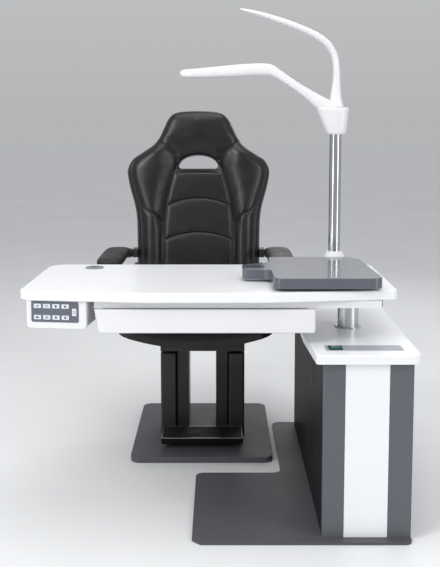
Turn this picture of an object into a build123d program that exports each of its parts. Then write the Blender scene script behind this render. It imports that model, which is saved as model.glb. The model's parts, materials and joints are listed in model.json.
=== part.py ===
from build123d import *
import os
from math import cos, radians, sin

os.makedirs("parts", exist_ok=True)

# Ophthalmic refraction unit: a lifting instrument table on a cabinet, with a
# powered patient chair behind it. Millimetres. The origin is on the floor, on
# the axis of the table's lift column. +X is to the right of the person at the
# control panel, +Y runs from that person towards the chair, +Z is up.

# ---- driving dimensions: running fit of every pin, and the floor plates
TURN_FIT = 0.06
UNIT_PLATE_T = 8
CHAIR_PLATE_T = 20
PLATE_LEFT, PLATE_RIGHT = -487, 142
PLATE_FRONT, PLATE_STEP, PLATE_BACK = -366, 142, 657
PLATE_NARROW_LEFT = -200
CHAIR_PLATE_W, CHAIR_PLATE_D = 503, 610

# ---- driving dimensions: cabinet
CAB_LEFT, CAB_RIGHT = -114, 142
CAB_FRONT, CAB_BACK = -334, 640
CAB_TOP = 520
PANEL_T = 12
FRONT_T = 18
CENTRE_LEFT, CENTRE_W = -52, 125
SLAB_T = 26
SLAB_TOP = CAB_TOP + SLAB_T
SLAB_LEFT, SLAB_RIGHT = -150, 161
SLAB_FRONT, SLAB_BEND, SLAB_BACK = -351, -100, 655
SWITCH_X, SWITCH_Y = -74, -268
STRIP_X, STRIP_W, STRIP_D, STRIP_T = 8, 222, 60, 1.5
ROCKER_HALF_W, ROCKER_HALF_D = 14, 19
SOCKET_HALF_W, SOCKET_HALF_D = 18.3, 22.3
BEZEL_HALF_W, BEZEL_HALF_D = 19.5, 23.5

# ---- driving dimensions: lift column
COLUMN_R = 33
COLUMN_WALL = 3
COLUMN_FIT = 0.06
COLUMN_BOTTOM = 223
GUIDE_OUT_R = 35.5
SPINDLE_R = 9

# ---- driving dimensions: table
TOP_Z = 704
TOP_T = 30
TOP_LEFT, TOP_RIGHT = -995, 116
TOP_FRONT, TOP_BACK = -258, 262
FRAME_BOTTOM = 652
FRAME_LEFT, FRAME_RIGHT = -780, 74
FRAME_FRONT, FRAME_BACK = -216, 200
DRAWER_LEFT, DRAWER_RIGHT, DRAWER_SLANT = -775, -125, 12
DRAWER_BOTTOM, DRAWER_TOP = 577, 650
DRAWER_FACE_Y, DRAWER_FACE_T = -231, 18
GROMMET_X, GROMMET_Y, GROMMET_R = -828, 189, 27
BOX_X, BOX_Y, BOX_W, BOX_D = -885, -217, 180, 110
BOX_BOTTOM = 591
BOX_TURN = -6.8
BUTTON_W, BUTTON_H, BUTTON_GAP = 22, 13, 0.4
BUTTON_PITCH_X, BUTTON_PITCH_Z = 27.8, 33.5

# ---- driving dimensions: instrument tray
TRAY_TOP, TRAY_T = 744, 32
TRAY_LEFT, TRAY_RIGHT, TRAY_FRONT, TRAY_BACK = -252, 70, -238, 172
RAIL_YS = (-150, 80)

# ---- driving dimensions: lamp pole and arms
POLE_X, POLE_Y, POLE_R = -19, 219, 20
POLE_TOP = 1215
COLLAR_H = 54
STUD_R, STUD_TOP = 8, 1272
HUB_BOTTOM, HUB_TOP = 1151, 1239

# ---- driving dimensions: chair
CHAIR_X, CHAIR_Y = -471, 549
CHAIR_PLATE_Y = 554
SEAT_X = -493
HOUSING_IN, HOUSING_OUT = 96, 156
HOUSING_HALF_D, HOUSING_TOP = 85, 330
UPRIGHT_IN, UPRIGHT_OUT = 50, 92
BEAM_BOTTOM, BEAM_T = 346, 28
FOOTREST_HALF_W, FOOTREST_FRONT, FOOTREST_BACK = 147, -216, -88
SEAT_HALF_W, SEAT_FRONT, SEAT_REAR = 278, -260, 196
SEAT_TOP = 512
BACK_Y, BACK_Z, BACK_LEAN = 250, 500, 8
SHELL_T, CUSHION_T = 14, 88
PIVOT_Y, PIVOT_Z, PIVOT_R = 226, 466, 8
ARM_IN, ARM_OUT = 263, 359
ARM_PIVOT_Y, ARM_PIVOT_Z, ARM_PIVOT_R = 250, 664, 9
ARM_FRONT, ARM_REAR = -186, 196
ARM_TOP, ARM_T = 706, 34


def block(x0, x1, y0, y1, z0, z1, mode=Mode.ADD):
    """A box between two corners, for use inside a BuildPart."""
    centre = ((x0 + x1) / 2, (y0 + y1) / 2, (z0 + z1) / 2)
    with Locations(centre):
        Box(x1 - x0, y1 - y0, z1 - z0, mode=mode)


def rod(x, y, r, z0, z1, mode=Mode.ADD):
    """An upright cylinder, for use inside a BuildPart."""
    with Locations((x, y, (z0 + z1) / 2)):
        Cylinder(r, z1 - z0, mode=mode)


def cross_pin(x0, x1, y, z, r, mode=Mode.ADD):
    """A cylinder along X, for use inside a BuildPart."""
    with Locations(((x0 + x1) / 2, y, z)):
        Cylinder(r, x1 - x0, rotation=(0, 90, 0), mode=mode)


# ======================================================================
# Floor plates
# ======================================================================
with BuildPart() as unit_base_plate:
    with BuildSketch():
        with BuildLine():
            Polyline(
                (PLATE_LEFT, PLATE_FRONT),
                (PLATE_RIGHT, PLATE_FRONT),
                (PLATE_RIGHT, PLATE_BACK),
                (PLATE_NARROW_LEFT, PLATE_BACK),
                (PLATE_NARROW_LEFT, PLATE_STEP),
                (PLATE_LEFT, PLATE_STEP),
                close=True,
            )
        make_face()
        fillet(vertices().filter_by_position(Axis.Y, PLATE_STEP - 1, PLATE_BACK + 1), 28)
        fillet(vertices().group_by(Axis.Y)[0].sort_by(Axis.X)[-1], 22)
        chamfer(vertices().group_by(Axis.Y)[0].sort_by(Axis.X)[0], 25)
    extrude(amount=UNIT_PLATE_T)

with BuildPart() as chair_base_plate:
    with BuildSketch(Plane((CHAIR_X, CHAIR_PLATE_Y, 0))):
        RectangleRounded(CHAIR_PLATE_W, CHAIR_PLATE_D, 35)
    extrude(amount=CHAIR_PLATE_T)
    fillet(chair_base_plate.faces().sort_by(Axis.Z)[-1].edges(), 3)

# ======================================================================
# Cabinet
# ======================================================================
with BuildPart() as cabinet_front_frame:
    block(CAB_LEFT, CAB_RIGHT, CAB_FRONT, CAB_FRONT + FRONT_T, UNIT_PLATE_T, CAB_TOP)
    block(CENTRE_LEFT - 0.5, CENTRE_LEFT + CENTRE_W + 0.5,
          CAB_FRONT - 1, CAB_FRONT + 7, UNIT_PLATE_T, CAB_TOP, mode=Mode.SUBTRACT)
    fillet(cabinet_front_frame.edges().filter_by(Axis.Z).group_by(Axis.Y)[0].sort_by(Axis.X)[0], 4)
    fillet(cabinet_front_frame.edges().filter_by(Axis.Z).group_by(Axis.Y)[0].sort_by(Axis.X)[-1], 4)

with BuildPart() as cabinet_centre_panel:
    block(CENTRE_LEFT, CENTRE_LEFT + CENTRE_W, CAB_FRONT - 2, CAB_FRONT + 7,
          UNIT_PLATE_T + 1, CAB_TOP - 1)
    fillet(cabinet_centre_panel.faces().sort_by(Axis.Y)[0].edges().filter_by(Axis.Z), 2)


def side_panel(x0):
    """One cabinet side, from behind the front frame to ahead of the back panel."""
    with BuildPart() as panel:
        block(x0, x0 + PANEL_T, CAB_FRONT + FRONT_T, CAB_BACK - PANEL_T, UNIT_PLATE_T, CAB_TOP)
    return panel


cabinet_side_left = side_panel(CAB_LEFT)
cabinet_side_right = side_panel(CAB_RIGHT - PANEL_T)

INLET_X, INLET_Z, INLET_W, INLET_H = 80, 70, 28, 48
with BuildPart() as cabinet_back:
    block(CAB_LEFT, CAB_RIGHT, CAB_BACK - PANEL_T, CAB_BACK, UNIT_PLATE_T, CAB_TOP)
    block(INLET_X - INLET_W / 2, INLET_X + INLET_W / 2, CAB_BACK - 20, CAB_BACK + 1,
          INLET_Z - INLET_H / 2, INLET_Z + INLET_H / 2, mode=Mode.SUBTRACT)
    for row in range(6):
        slot_z = 360 + row * 20
        block(-60, 88, CAB_BACK - 20, CAB_BACK + 1, slot_z, slot_z + 6, mode=Mode.SUBTRACT)

with BuildPart() as mains_inlet:
    block(INLET_X - INLET_W / 2 + 0.3, INLET_X + INLET_W / 2 - 0.3, CAB_BACK - 26, CAB_BACK,
          INLET_Z - INLET_H / 2 + 0.3, INLET_Z + INLET_H / 2 - 0.3)
    block(INLET_X - 20, INLET_X + 20, CAB_BACK, CAB_BACK + 3, INLET_Z - 30, INLET_Z + 30)
    block(INLET_X - 9, INLET_X + 9, CAB_BACK - 18, CAB_BACK + 4,
          INLET_Z - 14, INLET_Z + 14, mode=Mode.SUBTRACT)
    with Locations(*[(INLET_X + dx, CAB_BACK - 13, INLET_Z + dz)
                     for dx, dz in ((-5, -3), (5, -3), (0, 5))]):
        Box(2, 12, 5)

with BuildPart() as cabinet_slab:
    with BuildSketch(Plane.XY.offset(CAB_TOP)):
        with BuildLine():
            Polyline(
                (SLAB_LEFT + 14, SLAB_FRONT),
                (SLAB_RIGHT, SLAB_FRONT),
                (SLAB_RIGHT, SLAB_BACK),
                (SLAB_LEFT, SLAB_BACK),
                (SLAB_LEFT, SLAB_BEND),
                close=True,
            )
        make_face()
        fillet(vertices().group_by(Axis.X)[-1].sort_by(Axis.Y)[0], 34)
        fillet(vertices().group_by(Axis.Y)[0].sort_by(Axis.X)[0], 12)
        fillet(vertices().group_by(Axis.Y)[-1], 12)
    extrude(amount=SLAB_T)
    fillet(cabinet_slab.faces().sort_by(Axis.Z)[-1].edges(), 4)
    rod(0, 0, GUIDE_OUT_R + 0.3, CAB_TOP - 1, SLAB_TOP + 1, mode=Mode.SUBTRACT)
    block(SWITCH_X - SOCKET_HALF_W, SWITCH_X + SOCKET_HALF_W, SWITCH_Y - SOCKET_HALF_D,
          SWITCH_Y + SOCKET_HALF_D, CAB_TOP - 1, SLAB_TOP + 1, mode=Mode.SUBTRACT)
    block(STRIP_X - STRIP_W / 2 - 0.3, STRIP_X + STRIP_W / 2 + 0.3,
          SWITCH_Y - STRIP_D / 2 - 0.3, SWITCH_Y + STRIP_D / 2 + 0.3,
          SLAB_TOP - STRIP_T, SLAB_TOP + 1, mode=Mode.SUBTRACT)

with BuildPart() as label_strip:
    block(STRIP_X - STRIP_W / 2, STRIP_X + STRIP_W / 2, SWITCH_Y - STRIP_D / 2,
          SWITCH_Y + STRIP_D / 2, SLAB_TOP - STRIP_T, SLAB_TOP + 0.3)
    block(SWITCH_X - BEZEL_HALF_W - 0.2, SWITCH_X + BEZEL_HALF_W + 0.2,
          SWITCH_Y - BEZEL_HALF_D - 0.2, SWITCH_Y + BEZEL_HALF_D + 0.2,
          SLAB_TOP - 5, SLAB_TOP + 1, mode=Mode.SUBTRACT)

PIN_R, PIN_HALF = 2, 16.2
PIN_Z = SLAB_TOP - 1
with BuildPart() as switch_bezel:
    block(SWITCH_X - BEZEL_HALF_W, SWITCH_X + BEZEL_HALF_W, SWITCH_Y - BEZEL_HALF_D,
          SWITCH_Y + BEZEL_HALF_D, SLAB_TOP - STRIP_T, SLAB_TOP + 2)
    fillet(switch_bezel.edges().filter_by(Axis.Z), 3)
    block(SWITCH_X - SOCKET_HALF_W + 0.3, SWITCH_X + SOCKET_HALF_W - 0.3,
          SWITCH_Y - SOCKET_HALF_D + 0.3, SWITCH_Y + SOCKET_HALF_D - 0.3,
          SLAB_TOP - 22, SLAB_TOP - STRIP_T)
    block(SWITCH_X - ROCKER_HALF_W - 0.6, SWITCH_X + ROCKER_HALF_W + 0.6,
          SWITCH_Y - ROCKER_HALF_D - 0.6, SWITCH_Y + ROCKER_HALF_D + 0.6,
          SLAB_TOP - 14, SLAB_TOP + 3, mode=Mode.SUBTRACT)
    cross_pin(SWITCH_X - PIN_HALF - 0.2, SWITCH_X + PIN_HALF + 0.2, SWITCH_Y, PIN_Z,
              PIN_R + TURN_FIT, mode=Mode.SUBTRACT)

# The rocker is drawn level and tipped to its off position about its pivot.
ROCKER_TILT = 7
ROCKER_PLANE = Plane(
    (SWITCH_X, SWITCH_Y, PIN_Z),
    x_dir=(0, cos(radians(ROCKER_TILT)), -sin(radians(ROCKER_TILT))),
    z_dir=(1, 0, 0),
)
with BuildPart() as power_rocker:
    with BuildSketch(ROCKER_PLANE):
        with BuildLine():
            Polyline((-18.4, 6.6), (0, 3.6), (18.4, 6.6), (17, -6), (-17, -6), close=True)
        make_face()
    extrude(amount=ROCKER_HALF_W, both=True)
    fillet(power_rocker.edges().filter_by(Axis.X), 0.8)
    cross_pin(SWITCH_X - PIN_HALF, SWITCH_X + PIN_HALF, SWITCH_Y, PIN_Z, PIN_R)

# ======================================================================
# Lift column and what drives it
# ======================================================================
with BuildPart() as column_guide_tube:
    with BuildSketch(Plane.XY.offset(UNIT_PLATE_T)):
        Circle(GUIDE_OUT_R)
        Circle(COLUMN_R + COLUMN_FIT, mode=Mode.SUBTRACT)
    extrude(amount=SLAB_TOP - UNIT_PLATE_T - 1)
    with BuildSketch(Plane.XY.offset(UNIT_PLATE_T)):
        RectangleRounded(150, 150, 12)
        Circle(COLUMN_R + COLUMN_FIT, mode=Mode.SUBTRACT)
        with GridLocations(120, 120, 2, 2):
            Circle(5.2, mode=Mode.SUBTRACT)
    extrude(amount=10)

with BuildPart() as column_foot_ring:
    with BuildSketch(Plane.XY.offset(SLAB_TOP)):
        Circle(41)
        Circle(COLUMN_R + 0.5, mode=Mode.SUBTRACT)
    extrude(amount=6)
    chamfer(column_foot_ring.faces().sort_by(Axis.Z)[-1].edges().sort_by(SortBy.RADIUS)[-1], 2.5)

with BuildPart() as table_lift_actuator:
    rod(0, 0, 30, UNIT_PLATE_T, 150)
    rod(0, 0, SPINDLE_R, 150, 520)
    chamfer(table_lift_actuator.faces().sort_by(Axis.Z)[-1].edges(), 2)

FLANGE_T = 8
with BuildPart() as column_tube:
    with BuildSketch(Plane.XY.offset(COLUMN_BOTTOM)):
        Circle(COLUMN_R)
        Circle(COLUMN_R - COLUMN_WALL, mode=Mode.SUBTRACT)
    extrude(amount=FRAME_BOTTOM - FLANGE_T - COLUMN_BOTTOM)
    with BuildSketch(Plane.XY.offset(FRAME_BOTTOM - FLANGE_T)):
        RectangleRounded(140, 140, 14)
        with GridLocations(110, 110, 2, 2):
            Circle(4.2, mode=Mode.SUBTRACT)
    extrude(amount=FLANGE_T)

with BuildPart() as lift_nut:
    with BuildSketch(Plane.XY.offset(COLUMN_BOTTOM)):
        Circle(COLUMN_R - COLUMN_WALL)
        Circle(SPINDLE_R + TURN_FIT, mode=Mode.SUBTRACT)
    extrude(amount=36)

with BuildPart() as power_supply:
    block(-60, 90, 250, 470, UNIT_PLATE_T, 120)
    fillet(power_supply.edges().filter_by(Axis.Z), 5)

# ======================================================================
# Table
# ======================================================================
TOP_OUTLINE = [
    (TOP_LEFT, -190),
    (TOP_LEFT + 30, -218),
    (-624, TOP_FRONT),
    (-262, TOP_FRONT + 1),
    (TOP_RIGHT, -207),
    (TOP_RIGHT - 4, TOP_BACK),
    (TOP_LEFT + 8, TOP_BACK),
]
with BuildPart() as tabletop:
    with BuildSketch(Plane.XY.offset(TOP_Z - TOP_T)):
        with BuildLine():
            Polyline(*TOP_OUTLINE, close=True)
        make_face()
        fillet(vertices().filter_by_position(Axis.Y, -225, -185).sort_by(Axis.X)[:2], 12)
        fillet(vertices().filter_by_position(Axis.Y, TOP_FRONT - 2, TOP_FRONT + 3), 60)
        fillet(vertices().group_by(Axis.Y)[-1].sort_by(Axis.X)[0], 60)
        fillet(vertices().group_by(Axis.Y)[-1].sort_by(Axis.X)[-1], 30)
        fillet(vertices().sort_by(Axis.X)[-1], 22)
        with Locations((GROMMET_X, GROMMET_Y)):
            Circle(GROMMET_R, mode=Mode.SUBTRACT)
    extrude(amount=TOP_T)
    fillet(tabletop.faces().sort_by(Axis.Z)[-1].outer_wire().edges(), 5)
    fillet(tabletop.faces().sort_by(Axis.Z)[0].outer_wire().edges(), 5)

with BuildPart() as cable_grommet:
    with BuildSketch(Plane((GROMMET_X, GROMMET_Y, TOP_Z - 20))):
        Circle(GROMMET_R - 0.2)
        Circle(GROMMET_R - 3, mode=Mode.SUBTRACT)
    extrude(amount=20)
    with BuildSketch(Plane((GROMMET_X, GROMMET_Y, TOP_Z))):
        Circle(GROMMET_R + 3.5)
        Circle(GROMMET_R - 3, mode=Mode.SUBTRACT)
    extrude(amount=2.5)
    with BuildSketch(Plane((GROMMET_X, GROMMET_Y, TOP_Z))):
        Circle(GROMMET_R - 3)
        with Locations((0, 16)):
            Rectangle(22, 24, mode=Mode.SUBTRACT)
    extrude(amount=1.8)

with BuildPart() as table_underframe:
    block(FRAME_LEFT, FRAME_RIGHT, FRAME_FRONT, FRAME_BACK, FRAME_BOTTOM, TOP_Z - TOP_T)
    fillet(table_underframe.edges().filter_by(Axis.Z), 14)
    block(FRAME_LEFT + 3, FRAME_RIGHT - 3, FRAME_FRONT + 3, FRAME_BACK - 3,
          FRAME_BOTTOM + 3, TOP_Z, mode=Mode.SUBTRACT)

# ---- control box, on the table's angled left front
BOX_PLANE = Plane(
    (BOX_X, BOX_Y, BOX_BOTTOM),
    x_dir=(cos(radians(BOX_TURN)), sin(radians(BOX_TURN)), 0),
    z_dir=(sin(radians(BOX_TURN)), -cos(radians(BOX_TURN)), 0),
)
BOX_H = TOP_Z - TOP_T - BOX_BOTTOM
LABEL_W, LABEL_H, LABEL_T = 142, 62, 1.2
LABEL_MID = 50
KEY_ROWS = (LABEL_MID + BUTTON_PITCH_Z / 2, LABEL_MID - BUTTON_PITCH_Z / 2)
KEY_COLUMNS = [-56 + BUTTON_PITCH_X * n for n in range(4)]
KEYS = [(x, h, BUTTON_W, BUTTON_H) for h in KEY_ROWS for x in KEY_COLUMNS]
KEYS.append((KEY_COLUMNS[-1] + 27, LABEL_MID, BUTTON_H, BUTTON_W))
KEY_DEPTH = 9

with BuildPart() as control_box:
    with BuildSketch(BOX_PLANE):
        with Locations((0, BOX_H / 2)):
            Rectangle(BOX_W, BOX_H)
        fillet(vertices().group_by(Axis.Y)[0], 12)
    extrude(amount=-BOX_D)
    fillet(control_box.faces().sort_by(Axis.Y)[0].edges(), 2)
    with BuildSketch(BOX_PLANE.offset(-12)):
        with Locations((0, BOX_H / 2)):
            Rectangle(BOX_W - 8, BOX_H - 8)
    extrude(amount=-(BOX_D - 16), mode=Mode.SUBTRACT)
    with BuildSketch(BOX_PLANE):
        for x, h, w, tall in KEYS:
            with Locations((x, h)):
                Rectangle(w + 2 * BUTTON_GAP, tall + 2 * BUTTON_GAP)
    extrude(amount=-14, mode=Mode.SUBTRACT)

with BuildPart() as keypad_label:
    with BuildSketch(BOX_PLANE):
        with Locations((-4, LABEL_MID)):
            RectangleRounded(LABEL_W, LABEL_H, 5)
        for x, h, w, tall in KEYS:
            with Locations((x, h)):
                RectangleRounded(w + 2 * BUTTON_GAP, tall + 2 * BUTTON_GAP, 1.5, mode=Mode.SUBTRACT)
    extrude(amount=LABEL_T)


def key_button(x, h, w, tall):
    """One sprung key: a rounded cap that stands proud of the keypad label."""
    with BuildPart() as key:
        with BuildSketch(BOX_PLANE.offset(LABEL_T + 1.6)):
            with Locations((x, h)):
                RectangleRounded(w, tall, 1.5)
        extrude(amount=-KEY_DEPTH)
        fillet(key.faces().sort_by(Axis.Y)[0].edges(), 0.6)
    return key


KEY_NAMES = ["key_lamp", "key_aux", "key_table_up", "key_chair_up",
             "key_projector", "key_memory", "key_table_down", "key_chair_down", "key_reset"]
keys = {name: key_button(*spot) for name, spot in zip(KEY_NAMES, KEYS)}

# ---- drawer and its runners
RUNNER_XS = (DRAWER_LEFT + 30, DRAWER_RIGHT - 30)
SIDE_T = 10
with BuildPart() as drawer_front:
    with BuildSketch(Plane.XZ.offset(-DRAWER_FACE_Y)):
        with BuildLine():
            Polyline((DRAWER_LEFT, DRAWER_TOP), (DRAWER_RIGHT, DRAWER_TOP),
                     (DRAWER_RIGHT, DRAWER_BOTTOM), (DRAWER_LEFT + DRAWER_SLANT, DRAWER_BOTTOM),
                     close=True)
        make_face()
        fillet(vertices().group_by(Axis.Y)[0], 10)
    extrude(amount=-DRAWER_FACE_T)
    chamfer(drawer_front.faces().sort_by(Axis.Y)[0].edges().filter_by(Axis.X).sort_by(Axis.Z)[0], 14, 5)
    fillet(drawer_front.faces().sort_by(Axis.Y)[0].edges().filter_by(Axis.X).sort_by(Axis.Z)[-1], 3)

DRAWER_IN_L, DRAWER_IN_R = RUNNER_XS[0] + 8, RUNNER_XS[1] - 8
BIN_BOTTOM, BIN_TOP, BIN_FLOOR_T = 592, 640, 6
SLIDE_BOTTOM, SLIDE_TOP = 614, 626
DRAWER_BACK_Y = 130
RUNNER_FRONT, RUNNER_BACK = -205, 160
with BuildPart() as drawer_box:
    block(DRAWER_IN_L, DRAWER_IN_R, DRAWER_FACE_Y + DRAWER_FACE_T, DRAWER_BACK_Y,
          BIN_BOTTOM, BIN_TOP)
    block(DRAWER_IN_L + SIDE_T, DRAWER_IN_R - SIDE_T, DRAWER_FACE_Y + DRAWER_FACE_T + SIDE_T,
          DRAWER_BACK_Y - SIDE_T, BIN_BOTTOM + BIN_FLOOR_T, BIN_TOP + 1, mode=Mode.SUBTRACT)
    for x, side in zip(RUNNER_XS, (1, -1)):
        edge = x + 8 * side
        inner = x - 2 * side
        block(min(edge, inner), max(edge, inner), RUNNER_FRONT, RUNNER_BACK - 40,
              SLIDE_BOTTOM, SLIDE_TOP)

with BuildPart() as drawer_runners:
    for x, side in zip(RUNNER_XS, (1, -1)):
        block(x - 7, x + 7, RUNNER_FRONT, RUNNER_BACK, 600, FRAME_BOTTOM)
        block(min(x - 3 * side, x + 9 * side), max(x - 3 * side, x + 9 * side),
              RUNNER_FRONT - 1, RUNNER_BACK + 1, SLIDE_BOTTOM - 2, SLIDE_TOP + 2,
              mode=Mode.SUBTRACT)

# ======================================================================
# Instrument tray
# ======================================================================
HANDLE_LEFT, HANDLE_FRONT, HANDLE_BACK = -337, -70, 16
with BuildPart() as instrument_tray:
    with BuildSketch(Plane.XY.offset(TRAY_TOP - TRAY_T)):
        with BuildLine():
            Polyline(
                (TRAY_LEFT, TRAY_FRONT),
                (TRAY_RIGHT, TRAY_FRONT),
                (TRAY_RIGHT - 16, 118),
                (22, TRAY_BACK),
                (TRAY_LEFT + 6, TRAY_BACK),
                (TRAY_LEFT, HANDLE_BACK + 40),
                (HANDLE_LEFT, HANDLE_BACK),
                (HANDLE_LEFT, HANDLE_FRONT),
                (TRAY_LEFT, HANDLE_FRONT - 12),
                close=True,
            )
        make_face()
        fillet(vertices().group_by(Axis.Y)[0], 32)
        fillet(vertices().filter_by_position(Axis.X, HANDLE_LEFT - 1, HANDLE_LEFT + 1), 18)
        fillet(vertices().filter_by_position(Axis.Y, HANDLE_FRONT - 13, HANDLE_FRONT - 11), 26)
        fillet(vertices().filter_by_position(Axis.Y, HANDLE_BACK + 39, HANDLE_BACK + 41), 26)
        fillet(vertices().filter_by_position(Axis.Y, TRAY_BACK - 1, TRAY_BACK + 1), 22)
        fillet(vertices().filter_by_position(Axis.Y, 117, 119), 30)
        with Locations(((HANDLE_LEFT + TRAY_LEFT) / 2 - 2, (HANDLE_FRONT + HANDLE_BACK) / 2)):
            SlotOverall(58, 30, mode=Mode.SUBTRACT)
    extrude(amount=TRAY_T)
    fillet(instrument_tray.faces().sort_by(Axis.Z)[-1].outer_wire().edges(), 4)

RAIL_LEFT, RAIL_RIGHT, RAIL_H = -236, 44, 6
with BuildPart() as tray_rails:
    for y in RAIL_YS:
        block(RAIL_LEFT, RAIL_RIGHT, y - 11, y + 11, TOP_Z, TOP_Z + RAIL_H)
        block(RAIL_LEFT - 1, RAIL_RIGHT + 1, y - 5.5, y + 5.5, TOP_Z + 2, TOP_Z + RAIL_H + 1,
              mode=Mode.SUBTRACT)

with BuildPart() as tray_glides:
    for y in RAIL_YS:
        block(RAIL_LEFT, RAIL_RIGHT, y - 5, y + 5, TOP_Z + 3, TRAY_TOP - TRAY_T)

# ======================================================================
# Lamp pole, instrument arm and lamp arm
# ======================================================================
POLE_PLANE = Plane((POLE_X, POLE_Y, 0), x_dir=(1, 0, 0), z_dir=(0, -1, 0))
POLE_AXIS = Axis((POLE_X, POLE_Y, 0), (0, 0, 1))

with BuildPart() as pole_collar:
    with BuildSketch(POLE_PLANE):
        with BuildLine():
            Polyline((POLE_R + 0.1, TOP_Z), (40, TOP_Z), (40, TOP_Z + 5), (34, TOP_Z + 38),
                     (25, TOP_Z + COLLAR_H), (POLE_R + 0.1, TOP_Z + COLLAR_H), close=True)
        make_face()
    revolve(axis=POLE_AXIS)

with BuildPart() as lamp_pole:
    rod(POLE_X, POLE_Y, POLE_R, TOP_Z, POLE_TOP)
    rod(POLE_X, POLE_Y, STUD_R, POLE_TOP, STUD_TOP)
    chamfer(lamp_pole.faces().sort_by(Axis.Z)[-1].edges(), 1)

with BuildPart() as arm_hub:
    with BuildSketch(POLE_PLANE):
        with BuildLine():
            Polyline((POLE_R + TURN_FIT, HUB_BOTTOM), (27, HUB_BOTTOM), (32, HUB_BOTTOM + 12),
                     (34.5, HUB_BOTTOM + 26), (35, HUB_TOP - 3), (32, HUB_TOP),
                     (STUD_R + 0.5, HUB_TOP), (STUD_R + 0.5, POLE_TOP + 0.3),
                     (POLE_R + TURN_FIT, POLE_TOP + 0.3), close=True)
        make_face()
    revolve(axis=POLE_AXIS)


def square_planes(path):
    """Planes square to a path of (x, z, half height, half width) in the pole's XZ plane."""
    planes = []
    for i, (x, z, tall, wide) in enumerate(path):
        before = path[max(i - 1, 0)]
        after = path[min(i + 1, len(path) - 1)]
        along = Vector(after[0] - before[0], 0, after[1] - before[1]).normalized()
        planes.append((Plane((x, POLE_Y, z), x_dir=(0, 1, 0), z_dir=along), wide, tall))
    return planes


INSTRUMENT_ARM_PATH = [
    (-34, 1236, 24, 27), (-72, 1265, 19, 25), (-128, 1303, 14.5, 23), (-188, 1342, 14, 22),
    (-236, 1364, 17, 24), (-290, 1368, 18.5, 25), (-380, 1365, 18, 24), (-470, 1359, 15, 20),
    (-540, 1357, 4, 9),
]
with BuildPart() as instrument_arm:
    for plane, wide, tall in square_planes(INSTRUMENT_ARM_PATH):
        with BuildSketch(plane):
            Ellipse(wide, tall)
    loft(ruled=True)
    rod(POLE_X, POLE_Y, 35.3, HUB_BOTTOM - 5, HUB_TOP + 40, mode=Mode.SUBTRACT)

LAMP_ARM_PATH = [
    (POLE_X, HUB_TOP + 0.5, 27, 27), (POLE_X, 1282, 17, 17), (-18, 1330, 13, 15),
    (-17, 1378, 11, 15), (-24, 1410, 10.5, 16), (-42, 1443, 10.5, 17), (-78, 1471, 10.5, 18),
    (-140, 1501, 9.5, 19), (-215, 1528, 8, 19), (-290, 1550, 5.5, 15), (-342, 1565, 1.5, 5),
]
LENS_PLANE = Plane((-178, POLE_Y, 1512), x_dir=(0.94, 0, -0.34), z_dir=(-0.34, 0, -0.94))
with BuildPart() as lamp_arm:
    for plane, wide, tall in square_planes(LAMP_ARM_PATH):
        with BuildSketch(plane):
            Ellipse(wide, tall)
    loft(ruled=True)
    rod(POLE_X, POLE_Y, STUD_R + TURN_FIT, HUB_TOP - 5, STUD_TOP + 0.5, mode=Mode.SUBTRACT)
    with BuildSketch(LENS_PLANE):
        SlotOverall(110, 18)
    extrude(amount=20, mode=Mode.SUBTRACT)

with BuildPart() as lamp_lens:
    with BuildSketch(LENS_PLANE):
        SlotOverall(109.4, 17.4)
    extrude(amount=8)

# ======================================================================
# Chair: fixed housings, lift carriage and footrest
# ======================================================================
HOUSING_MID = (HOUSING_IN + HOUSING_OUT) / 2
HOUSING_WALL = 3
HOUSING_W = HOUSING_OUT - HOUSING_IN
ACTUATOR_R, ROD_R = 22, 12

with BuildPart() as chair_housings:
    for side in (-1, 1):
        x = CHAIR_X + side * HOUSING_MID
        with BuildSketch(Plane((x, CHAIR_Y, CHAIR_PLATE_T))):
            RectangleRounded(HOUSING_W, 2 * HOUSING_HALF_D, 8)
        extrude(amount=HOUSING_TOP - CHAIR_PLATE_T)
        with BuildSketch(Plane((x, CHAIR_Y, CHAIR_PLATE_T + 8))):
            RectangleRounded(HOUSING_W - 2 * HOUSING_WALL, 2 * (HOUSING_HALF_D - HOUSING_WALL), 5)
        extrude(amount=HOUSING_TOP, mode=Mode.SUBTRACT)
        with BuildSketch(Plane((x, CHAIR_Y + HOUSING_HALF_D + 16, CHAIR_PLATE_T))):
            Rectangle(HOUSING_W, 36)
            Circle(5.5, mode=Mode.SUBTRACT)
        extrude(amount=8)
        x0 = CHAIR_X + side * (UPRIGHT_OUT + 0.5)
        x1 = CHAIR_X + side * (HOUSING_IN + 1)
        block(min(x0, x1), max(x0, x1), CHAIR_Y - 14, CHAIR_Y + 14, 40, 320)

with BuildPart() as housing_caps:
    for side in (-1, 1):
        x = CHAIR_X + side * HOUSING_MID
        with BuildSketch(Plane((x, CHAIR_Y, HOUSING_TOP))):
            RectangleRounded(HOUSING_W, 2 * HOUSING_HALF_D, 8)
            Circle(ROD_R + 1, mode=Mode.SUBTRACT)
        extrude(amount=7)
    fillet(housing_caps.faces().group_by(Axis.Z)[-1].edges().filter_by(GeomType.LINE), 3)

with BuildPart() as chair_actuators:
    for side in (-1, 1):
        x = CHAIR_X + side * HOUSING_MID
        rod(x, CHAIR_Y, ACTUATOR_R, CHAIR_PLATE_T + 8, 300)
        rod(x, CHAIR_Y, ROD_R + 0.1, 60, 301, mode=Mode.SUBTRACT)

with BuildPart() as actuator_rods:
    for side in (-1, 1):
        rod(CHAIR_X + side * HOUSING_MID, CHAIR_Y, ROD_R, 66, BEAM_BOTTOM)

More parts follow.
